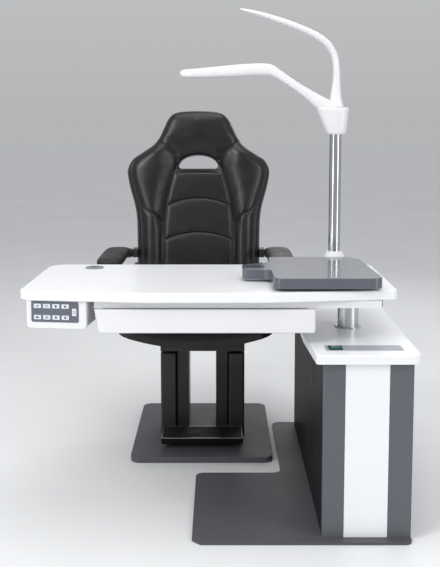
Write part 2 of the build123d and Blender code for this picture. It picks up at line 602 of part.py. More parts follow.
UPRIGHT_FRONT, UPRIGHT_BACK = FOOTREST_BACK + 1, 70
CARRIAGE_BOTTOM = 34
with BuildPart() as lift_carriage:
    for side in (-1, 1):
        x0 = CHAIR_X + side * UPRIGHT_IN
        x1 = CHAIR_X + side * UPRIGHT_OUT
        block(min(x0, x1), max(x0, x1), CHAIR_Y + UPRIGHT_FRONT, CHAIR_Y + UPRIGHT_BACK,
              CARRIAGE_BOTTOM, BEAM_BOTTOM)
    block(CHAIR_X - UPRIGHT_IN, CHAIR_X + UPRIGHT_IN, CHAIR_Y + UPRIGHT_FRONT,
          CHAIR_Y + UPRIGHT_BACK, CARRIAGE_BOTTOM, CARRIAGE_BOTTOM + 24)
    block(CHAIR_X - HOUSING_OUT, CHAIR_X + HOUSING_OUT, CHAIR_Y + UPRIGHT_FRONT,
          CHAIR_Y + UPRIGHT_BACK, BEAM_BOTTOM, BEAM_BOTTOM + BEAM_T)

FOOT_BOTTOM, FOOT_TOP, TRIM_W = 38, 60, 4
with BuildPart() as footrest_frame:
    block(CHAIR_X - FOOTREST_HALF_W, CHAIR_X + FOOTREST_HALF_W, CHAIR_Y + FOOTREST_FRONT,
          CHAIR_Y + FOOTREST_BACK, FOOT_BOTTOM, FOOT_TOP)
    fillet(footrest_frame.edges().filter_by(Axis.Z), 5)
    block(CHAIR_X - FOOTREST_HALF_W + TRIM_W, CHAIR_X + FOOTREST_HALF_W - TRIM_W,
          CHAIR_Y + FOOTREST_FRONT + TRIM_W, CHAIR_Y + FOOTREST_BACK - TRIM_W,
          FOOT_TOP - 7, FOOT_TOP + 1, mode=Mode.SUBTRACT)

RIB_COUNT, RIB_W = 24, 6
with BuildPart() as footrest_mat:
    mat_half = FOOTREST_HALF_W - TRIM_W - 0.3
    mat_front = CHAIR_Y + FOOTREST_FRONT + TRIM_W + 0.3
    mat_back = CHAIR_Y + FOOTREST_BACK - TRIM_W - 0.3
    block(CHAIR_X - mat_half, CHAIR_X + mat_half, mat_front, mat_back, FOOT_TOP - 7, FOOT_TOP - 3)
    with Locations((CHAIR_X, (mat_front + mat_back) / 2, FOOT_TOP - 1.5)):
        with GridLocations(2 * mat_half / RIB_COUNT, 0, RIB_COUNT, 1):
            Box(RIB_W, mat_back - mat_front - 4, 3)

# ======================================================================
# Chair: seat
# ======================================================================
EAR_IN, EAR_T = 260, 8
BEAM_TOP = BEAM_BOTTOM + BEAM_T
SEAT_PLATE_T, SEAT_PLATE_WALL, SEAT_PLATE_HALF_W = 26, 4, 106
LEVER_Y, LEVER_Z = CHAIR_Y + PIVOT_Y - 8, BEAM_TOP + 20
with BuildPart() as seat_frame:
    block(SEAT_X - SEAT_PLATE_HALF_W, SEAT_X + SEAT_PLATE_HALF_W, CHAIR_Y - 190, CHAIR_Y + 206,
          BEAM_TOP, BEAM_TOP + SEAT_PLATE_T)
    block(SEAT_X - SEAT_PLATE_HALF_W + SEAT_PLATE_WALL, SEAT_X + SEAT_PLATE_HALF_W - SEAT_PLATE_WALL,
          CHAIR_Y - 190 + SEAT_PLATE_WALL, CHAIR_Y + 198,
          BEAM_TOP - 1, BEAM_TOP + SEAT_PLATE_T - SEAT_PLATE_WALL, mode=Mode.SUBTRACT)
    block(SEAT_X - EAR_IN - EAR_T, SEAT_X + EAR_IN + EAR_T, CHAIR_Y + 202, CHAIR_Y + PIVOT_Y + 24,
          BEAM_TOP, BEAM_TOP + 16)
    for side in (-1, 1):
        x0 = SEAT_X + side * EAR_IN
        x1 = SEAT_X + side * (EAR_IN + EAR_T)
        block(min(x0, x1), max(x0, x1), CHAIR_Y + 202, CHAIR_Y + PIVOT_Y + 24,
              BEAM_TOP, PIVOT_Z + 26)
        x2 = SEAT_X + side * (EAR_IN - 14)
        cross_pin(min(x0, x2), max(x0, x2), CHAIR_Y + PIVOT_Y, PIVOT_Z, PIVOT_R)
    x3 = SEAT_X + EAR_IN + EAR_T
    cross_pin(x3, x3 + 11, LEVER_Y, LEVER_Z, 5)

with BuildPart() as seat_cushion:
    with BuildSketch(Plane((SEAT_X, CHAIR_Y + SEAT_REAR, 0), x_dir=(1, 0, 0), z_dir=(0, -1, 0))):
        with BuildLine():
            ThreePointArc((-SEAT_HALF_W, 446), (0, 396), (SEAT_HALF_W, 446))
            Polyline((SEAT_HALF_W, 446), (SEAT_HALF_W, SEAT_TOP - 20), (SEAT_HALF_W - 30, SEAT_TOP),
                     (-SEAT_HALF_W + 30, SEAT_TOP), (-SEAT_HALF_W, SEAT_TOP - 20), (-SEAT_HALF_W, 446))
        make_face()
    extrude(amount=SEAT_REAR - SEAT_FRONT)
    fillet(seat_cushion.edges().filter_by(Axis.Z), 40)
    block(SEAT_X - SEAT_PLATE_HALF_W - 8, SEAT_X + SEAT_PLATE_HALF_W + 8, CHAIR_Y - 200,
          CHAIR_Y + SEAT_REAR + 1, 390,
          BEAM_TOP + SEAT_PLATE_T, mode=Mode.SUBTRACT)

# ======================================================================
# Chair: back, which leans about pins in the seat frame's ears
# ======================================================================
LEAN_COS, LEAN_SIN = cos(radians(BACK_LEAN)), sin(radians(BACK_LEAN))
BACK_PLANE = Plane((SEAT_X, CHAIR_Y + BACK_Y, BACK_Z), x_dir=(1, 0, 0),
                   z_dir=(0, -LEAN_COS, LEAN_SIN))
BACK_HEIGHT = 737
BACK_HALF = [(84, 732), (118, 711), (138, 672), (160, 626), (184, 598), (225, 570), (264, 542),
             (283, 510), (286, 478), (274, 418), (257, 358), (248, 300), (245, 200), (245, 22)]
OPENING_HALF, OPENING_LOW, OPENING_HIGH = 78, 506, 555


def back_layer(shrink, thickness):
    """One layer of the back: its outline pulled in by shrink, less the neck opening."""
    low = (BACK_HALF[-1][0] - shrink, BACK_HALF[-1][1] + shrink)
    side_points = [(x - shrink, h) for x, h in BACK_HALF[:-2]]
    waist = (BACK_HALF[-2][0] - shrink, BACK_HALF[-2][1])
    half_w = OPENING_HALF + shrink
    foot = OPENING_LOW - shrink
    with BuildPart() as layer:
        with BuildSketch(BACK_PLANE):
            with BuildLine() as half:
                Spline((0, BACK_HEIGHT - shrink), *side_points, waist, tangents=[(1, 0), (0, -1)])
                Polyline(waist, low, (0, low[1]))
                mirror(half.line, about=Plane.YZ)
            make_face()
        extrude(amount=thickness)
        with BuildSketch(BACK_PLANE.offset(-2 * CUSHION_T)):
            with BuildLine():
                Line((-half_w, foot), (half_w, foot))
                ThreePointArc((half_w, foot), (0, OPENING_HIGH + shrink), (-half_w, foot))
            make_face()
        extrude(amount=4 * CUSHION_T, mode=Mode.SUBTRACT)
    return layer


back_shell = back_layer(0, -SHELL_T)
back_cushion = back_layer(2, CUSHION_T)

BRACKET_OUT = EAR_IN - 2
BRACKET_T = 8
with BuildPart() as recline_brackets:
    for side in (-1, 1):
        x0 = SEAT_X + side * BRACKET_OUT
        x1 = SEAT_X + side * (BRACKET_OUT - BRACKET_T)
        left = min(x0, x1)
        with BuildSketch(Plane((left, CHAIR_Y, 0), x_dir=(0, 1, 0), z_dir=(1, 0, 0))):
            with BuildLine():
                Polyline((PIVOT_Y - 20, PIVOT_Z - 16), (PIVOT_Y + 20, PIVOT_Z - 16),
                         (PIVOT_Y + 60, 620), (PIVOT_Y + 34, 620), (PIVOT_Y - 12, PIVOT_Z + 30),
                         close=True)
            make_face()
            with Locations((PIVOT_Y, PIVOT_Z)):
                Circle(PIVOT_R + TURN_FIT, mode=Mode.SUBTRACT)
        extrude(amount=BRACKET_T)
        x2 = SEAT_X + side * BACK_HALF[-1][0]
        cross_pin(min(x1, x2), max(x1, x2), CHAIR_Y + PIVOT_Y + 44, 590, 6)

ARM_STUB_IN = BACK_HALF[-1][0]
with BuildPart() as arm_brackets:
    for side in (-1, 1):
        x0 = SEAT_X + side * ARM_STUB_IN
        x1 = SEAT_X + side * (ARM_IN + 2)
        block(min(x0, x1), max(x0, x1), CHAIR_Y + ARM_PIVOT_Y - 16, CHAIR_Y + ARM_PIVOT_Y + 44,
              ARM_PIVOT_Z - 16, ARM_PIVOT_Z + 16)
        x2 = SEAT_X + side * (ARM_IN + 34)
        cross_pin(min(x1, x2), max(x1, x2), CHAIR_Y + ARM_PIVOT_Y, ARM_PIVOT_Z, ARM_PIVOT_R)


def armrest(side):
    """A padded arm on a hub that turns about the pin of its bracket."""
    x_in = SEAT_X + side * ARM_IN
    x_out = SEAT_X + side * ARM_OUT
    left, right = min(x_in, x_out), max(x_in, x_out)
    hub_in = SEAT_X + side * (ARM_IN + 3)
    hub_out = SEAT_X + side * (ARM_IN + 32)
    with BuildPart() as arm:
        block(left, right, CHAIR_Y + ARM_FRONT, CHAIR_Y + ARM_REAR, ARM_TOP - ARM_T, ARM_TOP)
        fillet(arm.edges().filter_by(Axis.Z), 30)
        fillet(arm.faces().sort_by(Axis.Z)[-1].edges(), 10)
        block(min(hub_in, hub_out), max(hub_in, hub_out), CHAIR_Y + ARM_REAR - 30,
              CHAIR_Y + ARM_PIVOT_Y, ARM_PIVOT_Z - 14, ARM_PIVOT_Z + 14)
        cross_pin(min(hub_in, hub_out), max(hub_in, hub_out), CHAIR_Y + ARM_PIVOT_Y,
                  ARM_PIVOT_Z, 19)
        cross_pin(min(hub_in, hub_out) - 1, max(hub_in, hub_out) + 1, CHAIR_Y + ARM_PIVOT_Y,
                  ARM_PIVOT_Z, ARM_PIVOT_R + TURN_FIT, mode=Mode.SUBTRACT)
    return arm


armrest_left = armrest(-1)
armrest_right = armrest(1)

LEVER_X = SEAT_X + EAR_IN + EAR_T + 1
with BuildPart() as recline_lever:
    cross_pin(LEVER_X, LEVER_X + 8, LEVER_Y, LEVER_Z, 12)
    block(LEVER_X, LEVER_X + 8, LEVER_Y - 110, LEVER_Y, LEVER_Z - 7, LEVER_Z + 7)
    fillet(recline_lever.edges().filter_by(Axis.X).group_by(Axis.Y)[0], 6)
    cross_pin(LEVER_X - 1, LEVER_X + 9, LEVER_Y, LEVER_Z, 5 + TURN_FIT, mode=Mode.SUBTRACT)

# ======================================================================
# Export
# ======================================================================
nodes = {
    "unit_base_plate": unit_base_plate,
    "chair_base_plate": chair_base_plate,
    "cabinet_front_frame": cabinet_front_frame,
    "cabinet_centre_panel": cabinet_centre_panel,
    "cabinet_side_left": cabinet_side_left,
    "cabinet_side_right": cabinet_side_right,
    "cabinet_back": cabinet_back,
    "cabinet_slab": cabinet_slab,
    "mains_inlet": mains_inlet,
    "label_strip": label_strip,
    "switch_bezel": switch_bezel,
    "power_rocker": power_rocker,
    "column_guide_tube": column_guide_tube,
    "column_foot_ring": column_foot_ring,
    "table_lift_actuator": table_lift_actuator,
    "column_tube": column_tube,
    "lift_nut": lift_nut,
    "power_supply": power_supply,
    "tabletop": tabletop,
    "cable_grommet": cable_grommet,
    "table_underframe": table_underframe,
    "control_box": control_box,
    "keypad_label": keypad_label,
    "drawer_front": drawer_front,
    "drawer_box": drawer_box,
    "drawer_runners": drawer_runners,
    "instrument_tray": instrument_tray,
    "tray_rails": tray_rails,
    "tray_glides": tray_glides,
    "pole_collar": pole_collar,
    "lamp_pole": lamp_pole,
    "arm_hub": arm_hub,
    "instrument_arm": instrument_arm,
    "lamp_arm": lamp_arm,
    "lamp_lens": lamp_lens,
    "chair_housings": chair_housings,
    "housing_caps": housing_caps,
    "chair_actuators": chair_actuators,
    "actuator_rods": actuator_rods,
    "lift_carriage": lift_carriage,
    "footrest_frame": footrest_frame,
    "footrest_mat": footrest_mat,
    "seat_frame": seat_frame,
    "seat_cushion": seat_cushion,
    "back_shell": back_shell,
    "back_cushion": back_cushion,
    "recline_brackets": recline_brackets,
    "arm_brackets": arm_brackets,
    "armrest_left": armrest_left,
    "armrest_right": armrest_right,
    "recline_lever": recline_lever,
}
nodes.update(keys)
for label, piece in nodes.items():
    piece.part.label = label
    export_step(piece.part, f"parts/{label}.step")
print(len(nodes), "nodes")
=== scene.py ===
import json
import math

import bmesh
import bpy
import numpy as np
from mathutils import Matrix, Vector


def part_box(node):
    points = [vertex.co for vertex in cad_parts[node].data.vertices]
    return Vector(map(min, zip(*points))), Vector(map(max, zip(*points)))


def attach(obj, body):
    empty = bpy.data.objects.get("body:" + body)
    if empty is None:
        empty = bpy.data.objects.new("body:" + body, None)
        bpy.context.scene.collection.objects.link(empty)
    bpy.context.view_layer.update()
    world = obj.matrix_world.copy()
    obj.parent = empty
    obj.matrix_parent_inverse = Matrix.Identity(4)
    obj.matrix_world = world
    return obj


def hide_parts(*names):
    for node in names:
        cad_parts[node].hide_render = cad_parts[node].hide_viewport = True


# The looks of an ophthalmic refraction unit: an instrument table on a cabinet, and a patient
# chair. Profiles, sections and seams are in millimetres and are turned to metres by MM.
# Lights, camera and floor are in metres.
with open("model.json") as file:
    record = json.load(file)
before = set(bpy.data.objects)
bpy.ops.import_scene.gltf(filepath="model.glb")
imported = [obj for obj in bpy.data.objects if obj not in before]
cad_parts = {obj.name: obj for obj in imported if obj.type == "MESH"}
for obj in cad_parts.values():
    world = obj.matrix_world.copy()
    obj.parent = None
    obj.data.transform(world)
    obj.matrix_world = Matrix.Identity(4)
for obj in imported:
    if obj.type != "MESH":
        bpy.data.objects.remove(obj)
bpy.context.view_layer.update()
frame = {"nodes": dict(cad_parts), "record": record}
NODES = frame["nodes"]
MM = 0.001

# ======================================================================
# Camera, floor and light
# ======================================================================
LENS_MM = 57.14
SENSOR_MM = 36
CAMERA_AT = (-0.4061, -2.8044, 1.2010)
CAMERA_DOWN = 6.1
CAMERA_SHIFT = -0.12

camera = bpy.data.objects.new("camera", bpy.data.cameras.new("camera"))
bpy.context.scene.collection.objects.link(camera)
camera.data.lens = LENS_MM
camera.data.sensor_width = SENSOR_MM
camera.data.shift_y = CAMERA_SHIFT
camera.data.clip_end = 60
camera.location = CAMERA_AT
camera.rotation_euler = (math.radians(90 - CAMERA_DOWN), 0, 0)
bpy.context.scene.camera = camera


def area_light(name, at, towards, size, watts, colour=(1, 1, 1)):
    """A soft rectangular light that faces a point."""
    light = bpy.data.lights.new(name, "AREA")
    light.shape = "RECTANGLE"
    light.size, light.size_y = size
    light.energy = watts
    light.color = colour
    thing = bpy.data.objects.new(name, light)
    thing.location = at
    thing.rotation_euler = (Vector(towards) - Vector(at)).to_track_quat("-Z", "Y").to_euler()
    bpy.context.scene.collection.objects.link(thing)


MIDDLE = (-0.42, 0.25, 0.75)
area_light("key", (-2.6, -2.2, 3.1), MIDDLE, (1.8, 1.8), 58, (1.0, 0.99, 0.975))
area_light("fill", (2.6, -2.4, 2.0), MIDDLE, (2.0, 2.0), 26, (0.96, 0.98, 1.0))
area_light("top", (-0.3, 0.1, 3.6), MIDDLE, (2.6, 2.0), 38)
area_light("back", (0.6, 3.2, 2.4), MIDDLE, (2.0, 1.4), 18)
area_light("strip_left", (-2.3, -1.7, 1.35), MIDDLE, (0.45, 2.3), 20)
area_light("strip_right", (1.75, -1.5, 1.25), MIDDLE, (0.32, 2.3), 13)

HORIZON, SKY, SKY_FULL = (0.76, 0.77, 0.79), (0.97, 0.98, 1.0), 0.30


def studio_world():
    """Even light from all round, a little dimmer at the horizon than overhead."""
    made = bpy.data.worlds.new("studio")
    made.use_nodes = True
    nodes, links = made.node_tree.nodes, made.node_tree.links
    place = nodes.new("ShaderNodeTexCoord")
    split = nodes.new("ShaderNodeSeparateXYZ")
    blend = nodes.new("ShaderNodeValToRGB")
    blend.color_ramp.elements[0].color = (*HORIZON, 1)
    blend.color_ramp.elements[1].color = (*SKY, 1)
    blend.color_ramp.elements[1].position = SKY_FULL
    nodes["Background"].inputs["Strength"].default_value = 0.60
    links.new(place.outputs["Generated"], split.inputs["Vector"])
    links.new(split.outputs["Z"], blend.inputs["Fac"])
    links.new(blend.outputs["Color"], nodes["Background"].inputs["Color"])
    return made


bpy.context.scene.world = studio_world()
bpy.context.scene.view_settings.view_transform = "Standard"


# ======================================================================
# Materials
# ======================================================================
def material(name, colour, roughness, metallic=0.0, **sockets):
    """A Principled material with constants on its sockets."""
    made = bpy.data.materials.new(name)
    made.use_nodes = True
    shader = made.node_tree.nodes["Principled BSDF"]
    shader.inputs["Base Color"].default_value = (*colour, 1)
    shader.inputs["Roughness"].default_value = roughness
    shader.inputs["Metallic"].default_value = metallic
    for socket, value in sockets.items():
        shader.inputs[socket.replace("_", " ")].default_value = value
    return made


def field(mat, kind, scale, stretch=(1, 1, 1), detail=4.0):
    """A noise or cell pattern in the object's own space, as a value from 0 to 1."""
    nodes, links = mat.node_tree.nodes, mat.node_tree.links
    place = nodes.new("ShaderNodeTexCoord")
    mapping = nodes.new("ShaderNodeMapping")
    mapping.inputs["Scale"].default_value = stretch
    links.new(place.outputs["Object"], mapping.inputs["Vector"])
    if kind == "cells":
        texture = nodes.new("ShaderNodeTexVoronoi")
        texture.feature = "DISTANCE_TO_EDGE"
        texture.inputs["Scale"].default_value = scale
        links.new(mapping.outputs["Vector"], texture.inputs["Vector"])
        return texture.outputs["Distance"]
    texture = nodes.new("ShaderNodeTexNoise")
    texture.inputs["Scale"].default_value = scale
    texture.inputs["Detail"].default_value = detail
    links.new(mapping.outputs["Vector"], texture.inputs["Vector"])
    return texture.outputs["Fac"]


def vary_colour(mat, value, low, high):
    """Base colour runs from low to high with a pattern."""
    nodes, links = mat.node_tree.nodes, mat.node_tree.links
    ramp = nodes.new("ShaderNodeValToRGB")
    ramp.color_ramp.elements[0].position = 0.32
    ramp.color_ramp.elements[0].color = (*low, 1)
    ramp.color_ramp.elements[1].position = 0.68
    ramp.color_ramp.elements[1].color = (*high, 1)
    links.new(value, ramp.inputs["Fac"])
    links.new(ramp.outputs["Color"], nodes["Principled BSDF"].inputs["Base Color"])


def vary_roughness(mat, value, low, high):
    """Roughness runs from low to high with a pattern."""
    nodes, links = mat.node_tree.nodes, mat.node_tree.links
    spread = nodes.new("ShaderNodeMapRange")
    spread.inputs["From Min"].default_value = 0.3
    spread.inputs["From Max"].default_value = 0.7
    spread.inputs["To Min"].default_value = low
    spread.inputs["To Max"].default_value = high
    links.new(value, spread.inputs["Value"])
    links.new(spread.outputs["Result"], nodes["Principled BSDF"].inputs["Roughness"])


def bump(mat, value, strength, depth_mm):
    """A pattern as fine relief, on top of any relief that is there already."""
    nodes, links = mat.node_tree.nodes, mat.node_tree.links
    relief = nodes.new("ShaderNodeBump")
    relief.inputs["Strength"].default_value = strength
    relief.inputs["Distance"].default_value = depth_mm * MM
    links.new(value, relief.inputs["Height"])
    normal = nodes["Principled BSDF"].inputs["Normal"]
    if normal.is_linked:
        links.new(normal.links[0].from_socket, relief.inputs["Normal"])
    links.new(relief.outputs["Normal"], normal)


def shaded(colour, factor):
    return tuple(min(1.0, c * factor) for c in colour)


def moulded(name, colour, roughness, grain=900, relief=0.05, **sockets):
    """Moulded plastic: faint mottling, uneven gloss and a fine spark texture."""
    mat = material(name, colour, roughness, **sockets)
    vary_colour(mat, field(mat, "noise", 9, detail=3), shaded(colour, 0.98), shaded(colour, 1.01))
    vary_roughness(mat, field(mat, "noise", 26), roughness * 0.85, roughness * 1.2)
    bump(mat, field(mat, "noise", grain, detail=2), 0.22, relief)
    return mat


def coated_metal(name, colour, roughness, **sockets):
    """Powder coat or paint on metal: orange peel, and faint scuffs on the gloss."""
    mat = material(name, colour, roughness, **sockets)
    vary_colour(mat, field(mat, "noise", 6, detail=6), shaded(colour, 0.86), shaded(colour, 1.10))
    vary_roughness(mat, field(mat, "noise", 14, (1, 5, 1)), roughness * 0.8, roughness * 1.3)
    bump(mat, field(mat, "noise", 420, detail=2), 0.25, 0.06)
    return mat


def laminate(name, colour, roughness, **sockets):
    """Laminated board: broad, very slight waviness and a faint sheen change."""
    mat = material(name, colour, roughness, **sockets)
    waves = field(mat, "noise", 2.5, detail=2)
    vary_colour(mat, waves, shaded(colour, 0.985), shaded(colour, 1.008))
    vary_roughness(mat, field(mat, "noise", 7), roughness * 0.92, roughness * 1.1)
    bump(mat, field(mat, "noise", 260, detail=2), 0.12, 0.03)
    return mat


def brushed(name, colour, roughness, stretch, **sockets):
    """Drawn or brushed metal: fine lines along one direction."""
    mat = material(name, colour, roughness, metallic=1.0, **sockets)
    lines = field(mat, "noise", 60, stretch, detail=5)
    vary_colour(mat, lines, shaded(colour, 0.88), shaded(colour, 1.06))
    vary_roughness(mat, lines, roughness * 0.75, roughness * 1.35)
    bump(mat, lines, 0.10, 0.02)
    return mat


def leather(name, colour, roughness):
    """Coated black leather: a fine pebble grain, soft creasing and uneven polish."""
    mat = material(name, colour, roughness, Specular_IOR_Level=0.34,
                   Coat_Weight=0.14, Coat_Roughness=0.24)
    vary_colour(mat, field(mat, "noise", 13, detail=5), shaded(colour, 0.70), shaded(colour, 1.45))
    vary_roughness(mat, field(mat, "noise", 20, detail=5), roughness * 0.82, roughness * 1.22)
    bump(mat, field(mat, "cells", 620), 0.32, 0.16)
    bump(mat, field(mat, "noise", 34, (1, 1, 2.2), detail=6), 0.16, 1.0)
    return mat


UPRIGHT = (1, 1, 0.02)
LOOKS = {
    "plate_grey": laminate("plate_grey", (0.080, 0.082, 0.090), 0.48, Specular_IOR_Level=0.3),
    "cabinet_grey": laminate("cabinet_grey", (0.105, 0.110, 0.125), 0.40, Specular_IOR_Level=0.3),
    "side_gloss": laminate("side_gloss", (0.020, 0.019, 0.021), 0.30, Specular_IOR_Level=0.002),
    "white_panel": laminate("white_panel", (0.79, 0.80, 0.815), 0.30, Coat_Weight=0.12),
    "white_plastic": moulded("white_plastic", (0.72, 0.723, 0.73), 0.32, Coat_Weight=0.15),
    "label_grey": moulded("label_grey", (0.30, 0.32, 0.37), 0.42),
    "rocker_green": moulded("rocker_green", (0.012, 0.125, 0.095), 0.22, Coat_Weight=0.5),
    "black_plastic": moulded("black_plastic", (0.012, 0.012, 0.013), 0.42),
    "column_steel": brushed("column_steel", (0.62, 0.63, 0.64), 0.27, (40, 40, 0.6)),
    "polished_steel": brushed("polished_steel", (0.60, 0.61, 0.62), 0.10, UPRIGHT),
    "inner_steel": coated_metal("inner_steel", (0.30, 0.31, 0.32), 0.40, metallic=0.8),
    "keypad_blue": moulded("keypad_blue", (0.10, 0.112, 0.140), 0.40, grain=1500),
    "key_white": moulded("key_white", (0.62, 0.65, 0.70), 0.36, grain=1500),
    "tray_blue_grey": moulded("tray_blue_grey", (0.090, 0.100, 0.124), 0.20, relief=0.02,
                              Coat_Weight=0.35, Coat_Roughness=0.06),
    "lens_clear": moulded("lens_clear", (0.86, 0.86, 0.83), 0.45, Transmission_Weight=0.25),
    "frame_black": coated_metal("frame_black", (0.016, 0.015, 0.016), 0.40),
    "carriage_black": coated_metal("carriage_black", (0.020, 0.018, 0.018), 0.34, metallic=0.3),
    "trim_aluminium": brushed("trim_aluminium", (0.56, 0.57, 0.58), 0.33, (0.6, 40, 40)),
    "mat_rubber": moulded("mat_rubber", (0.013, 0.013, 0.013), 0.66, grain=500, relief=0.12),
    "leather_black": leather("leather_black", (0.0055, 0.0056, 0.0066), 0.35),
    "arm_pad": moulded("arm_pad", (0.014, 0.014, 0.015), 0.52, grain=460, relief=0.16,
                       Specular_IOR_Level=0.35),
    "housing_grey": moulded("housing_grey", (0.20, 0.21, 0.22), 0.42),
    "icon_ink": moulded("icon_ink", (0.018, 0.022, 0.036), 0.5, grain=1500),
}

# Depth below the top of the footrest trim where its painted highlight ends, and the width of the
# blend into the painted shade.
LIT_TOP_DEPTH, LIT_TOP_BLEND = 0.0018, 0.0006


def paint_lit_top(mat, highlight_from, painted_shade, painted_highlight):
    """Painted shade below a height and a painted highlight above it: the top edge is coloured as
    lit and the face below it as shaded.
    """
    nodes, links = mat.node_tree.nodes, mat.node_tree.links
    place = nodes.new("ShaderNodeTexCoord")
    split = nodes.new("ShaderNodeSeparateXYZ")
    step = nodes.new("ShaderNodeMapRange")
    mix = nodes.new("ShaderNodeMix")
    mix.data_type = "RGBA"
    step.inputs["From Min"].default_value = highlight_from - LIT_TOP_BLEND
    step.inputs["From Max"].default_value = highlight_from + LIT_TOP_BLEND
    mix.inputs["A"].default_value = (*painted_shade, 1)
    mix.inputs["B"].default_value = (*painted_highlight, 1)
    links.new(place.outputs["Object"], split.inputs["Vector"])
    links.new(split.outputs["Z"], step.inputs["Value"])
    links.new(step.outputs["Result"], mix.inputs["Factor"])
    links.new(mix.outputs["Result"], nodes["Principled BSDF"].inputs["Base Color"])


FOOT_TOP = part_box("footrest_frame")[1][2]
# The footrest's aluminium trim gets painted shade on its face and a painted highlight along its top
# edge.
paint_lit_top(LOOKS["trim_aluminium"], FOOT_TOP - LIT_TOP_DEPTH, (0.020, 0.020, 0.022), (0.50, 0.51, 0.52))

for part in frame["record"]["subparts"]:
    data = NODES[part["node"]].data
    data.materials.clear()
    data.materials.append(LOOKS[part["material_slot"]])


# ======================================================================
# Mesh helpers
# ======================================================================
def piece(name, vertices, faces, look, body, replaced=()):
    """A mesh of the object that rides on a body, with smooth faces."""
    mesh = bpy.data.meshes.new(name)
    mesh.from_pydata([tuple(v) for v in vertices], [], [tuple(f) for f in faces])
    mesh.validate()
    mesh.polygons.foreach_set("use_smooth", [True] * len(mesh.polygons))
    mesh.materials.append(LOOKS[look])
    made = bpy.data.objects.new(name, mesh)
    bpy.context.scene.collection.objects.link(made)
    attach(made, body)
    if replaced:
        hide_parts(*replaced)
    return made


def smooth_path(points, steps):
    """Points along a Catmull-Rom curve through the given points, whatever their width."""
    points = np.array(points, float)
    ends = [2 * points[0] - points[1], *points, 2 * points[-1] - points[-2]]
    out = []
    for a, b, c, d in zip(ends, ends[1:], ends[2:], ends[3:]):
        for t in np.linspace(0, 1, steps, endpoint=False):
            out.append(0.5 * (2 * b + (c - a) * t + (2 * a - 5 * b + 4 * c - d) * t * t
                              + (3 * b - a - 3 * c + d) * t ** 3))
    out.append(points[-1])
    return np.array(out)


def loft(rings):
    """Vertices and faces of a closed skin over rings of equal count, with both ends filled."""
    count = len(rings[0])
    vertices = [v for ring in rings for v in ring]
    faces = []
    for r in range(len(rings) - 1):
        for k in range(count):
            m = (k + 1) % count
            faces.append((r * count + k, r * count + m, (r + 1) * count + m, (r + 1) * count + k))
    for r, order in ((0, -1), (len(rings) - 1, 1)):
        vertices.append(np.mean(rings[r], axis=0))
        tip = len(vertices) - 1
        for k in range(count):
            m = (k + 1) % count
            faces.append((r * count + k, r * count + m, tip)[::order])
    return vertices, faces


def superellipse(count, power):
    """Unit outline that is round at power 2 and squarer above it."""
    turn = np.linspace(0, 2 * math.pi, count, endpoint=False)
    c, s = np.cos(turn), np.sin(turn)
    return (np.sign(c) * np.abs(c) ** (2 / power), np.sign(s) * np.abs(s) ** (2 / power))


# ======================================================================
# Arms on the pole
# ======================================================================
POLE_X, POLE_Y = -19, 219
ARM_SIDES = 40


def blade(name, path, power, body, replaced):
    """A moulded arm along stations of x, z, half height and half width, in the pole's plane."""
    stations = smooth_path(path, 8)
    along = np.gradient(stations[:, :2], axis=0)
    along /= np.linalg.norm(along, axis=1)[:, None]
    across, up = superellipse(ARM_SIDES, power)
    rings = []
    for (x, z, tall, wide), (tx, tz) in zip(stations, along):
        normal = np.array([-tz, 0, tx])
        middle = np.array([x, POLE_Y, z])
        ring = [middle + normal * tall * u + np.array([0, wide * a, 0]) for a, u in zip(across, up)]
        rings.append(np.array(ring) * MM)
    vertices, faces = loft(rings)
    piece(name, vertices, faces, "white_plastic", body, replaced)


INSTRUMENT_ARM = [
    (-36, 1226, 30, 25), (-54, 1241, 27, 25), (-88, 1265, 20.5, 25), (-136, 1298, 15.5, 24),
    (-186, 1331, 14.5, 23), (-220, 1353, 16.5, 24.5), (-238, 1361.5, 19.5, 25.5),
    (-254, 1364, 20.5, 26), (-300, 1364, 20.3, 26), (-360, 1360.5, 19.8, 26),
    (-430, 1356, 17.8, 25), (-496, 1352.5, 15, 23), (-522, 1352.5, 13, 19),
    (-534, 1353, 9.5, 13), (-539, 1353, 3, 5),
]
LAMP_ARM = [
    (-19, 1240, 26, 24), (-20, 1258, 21.5, 21), (-20, 1282, 17.5, 18), (-19, 1320, 13.5, 16),
    (-19, 1358, 11.5, 16), (-22, 1390, 11, 16.5), (-30, 1418, 11, 17), (-46, 1444, 11.5, 18),
    (-72, 1466, 11.5, 19), (-108, 1486, 11, 20), (-160, 1508, 10.5, 21), (-220, 1529, 9.5, 20),
    (-275, 1546, 7.5, 17), (-318, 1557, 5.4, 12), (-340, 1562.5, 2.2, 5),
]
blade("instrument_arm_shell", INSTRUMENT_ARM, 2.6, "swing_arm", ("instrument_arm",))
blade("lamp_arm_shell", LAMP_ARM, 2.3, "lamp", ("lamp_arm",))

HUB_SECTIONS = [
    (1151, 27.0), (1152.5, 31.0), (1158, 33.5), (1172, 35.5), (1195, 38.0), (1225, 41.0),
    (1234, 41.8), (1238, 41.2), (1239.4, 38.5),
]
HUB_REACH, REACH_FROM, REACH_TO = 25, 1160, 1239


def hub_shell():
    """The moulded hub: a cone that widens upward, drawn out towards the instrument arm."""
    across, up = superellipse(ARM_SIDES, 2.8)
    rings = []
    for z, half in HUB_SECTIONS:
        reach = HUB_REACH * max(0.0, (z - REACH_FROM) / (REACH_TO - REACH_FROM))
        ring = [(POLE_X - reach / 2 + (half + reach / 2) * a, POLE_Y + half * 0.96 * u, z)
                for a, u in zip(across, up)]
        rings.append(np.array(ring) * MM)
    vertices, faces = loft(rings)
    piece("hub_shell", vertices, faces, "white_plastic", "swing_arm",
          ("arm_hub",))


hub_shell()

